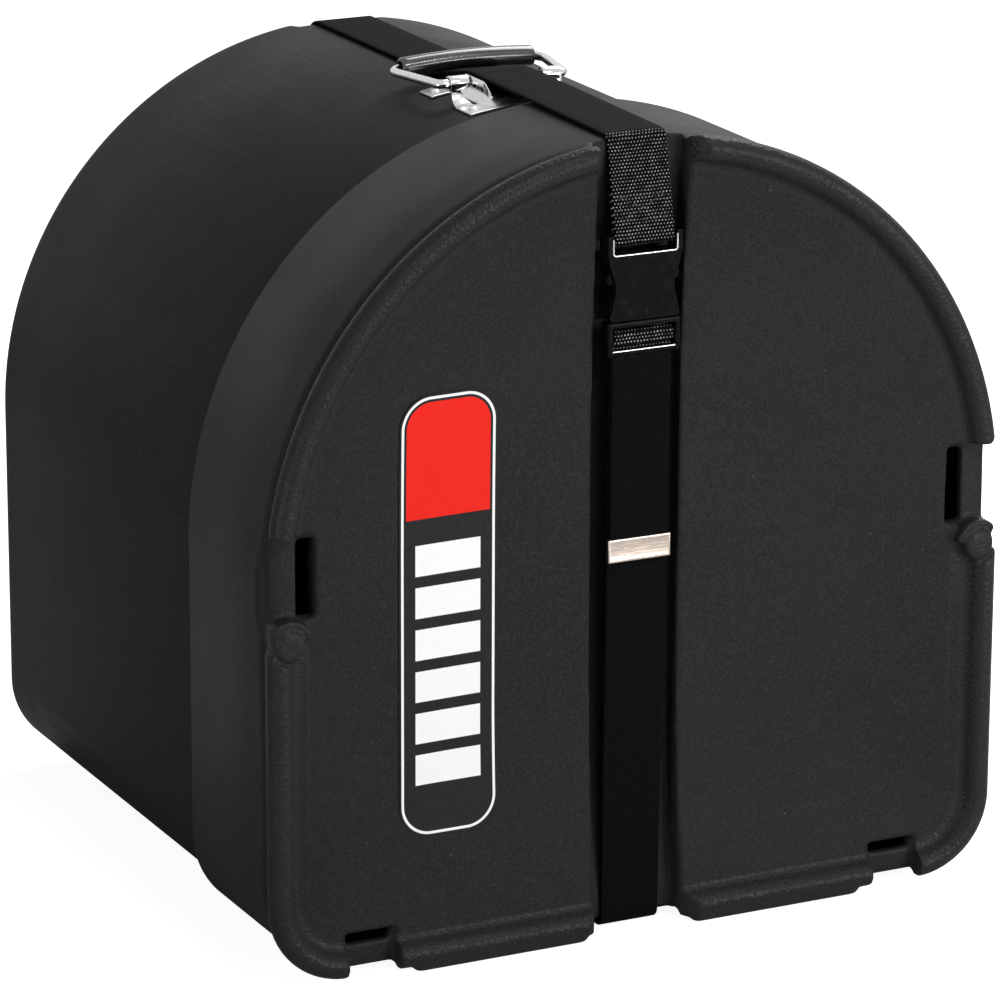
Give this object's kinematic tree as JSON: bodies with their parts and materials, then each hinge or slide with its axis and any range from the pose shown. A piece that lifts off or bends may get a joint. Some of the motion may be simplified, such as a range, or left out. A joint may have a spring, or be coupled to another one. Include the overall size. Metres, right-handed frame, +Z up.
{
  "type": "drum case",
  "caption": "Round-topped moulded drum case with a telescoping lid, a webbing strap with a side-release buckle, and a wire bail handle on a saddle.",
  "frame": {"origin": "on the floor under the middle of the case's bounding box", "axes": "+Z up, the lid's face looks along -Y, X is the width"},
  "size_m": [0.476, 0.441, 0.4867],
  "materials": {
    "moulded_plastic": "fine leather grain, satin black",
    "foam": "open-cell foam, dark grey",
    "webbing": "38 mm nylon webbing, black",
    "acetal": "glossy black moulding",
    "chrome": "bright plated steel",
    "grip_vinyl": "smooth black vinyl sleeve",
    "label_vinyl": "plain sticker with no lettering"
  },
  "bodies": {
    "case": {"body_shell": "moulded_plastic", "base_foam": "foam", "strap_back": "webbing", "strap_top_rear": "webbing", "strap_top_front": "webbing", "strap_bottom": "webbing", "handle_saddle": "chrome"},
    "lid": {"lid_shell": "moulded_plastic", "lid_foam": "foam", "face_label": "label_vinyl", "strap_front_upper": "webbing", "buckle_socket": "acetal", "strap_front_lower": "webbing"},
    "plug": {"buckle_plug": "acetal", "strap_tail": "webbing", "strap_tip": "chrome"},
    "prong_left": {"buckle_prong_left": "acetal"},
    "prong_right": {"buckle_prong_right": "acetal"},
    "bail": {"handle_bail": "chrome", "handle_grip": "grip_vinyl"}
  },
  "joints": [
    {"name": "lid_pull", "type": "slide", "parent": "case", "child": "lid", "axis": [0, -1, 0], "range_m": [0, 0.2], "deforming": ["strap_top_front", "strap_bottom"]},
    {"name": "plug_release", "type": "slide", "parent": "lid", "child": "plug", "axis": [0, 0, -1], "range_m": [0, 0.032], "deforming": ["strap_front_lower"]},
    {"name": "prong_left_squeeze", "type": "hinge", "parent": "plug", "child": "prong_left", "pos_m": [-0.0188, -0.208, 0.3762], "axis": [0, 1, 0], "range_deg": [0, 9], "stiffness_Nm_per_rad": 0.6},
    {"name": "prong_right_squeeze", "type": "hinge", "parent": "plug", "child": "prong_right", "pos_m": [0.0188, -0.208, 0.3762], "axis": [0, 1, 0], "range_deg": [-9, 0], "stiffness_Nm_per_rad": 0.6},
    {"name": "bail_lift", "type": "hinge", "parent": "case", "child": "bail", "pos_m": [0, -0.0375, 0.48], "axis": [1, 0, 0], "range_deg": [0, 165]}
  ],
  "couplings": [
    {"joint": "prong_right_squeeze", "follows": "prong_left_squeeze", "ratio": -1}
  ]
}
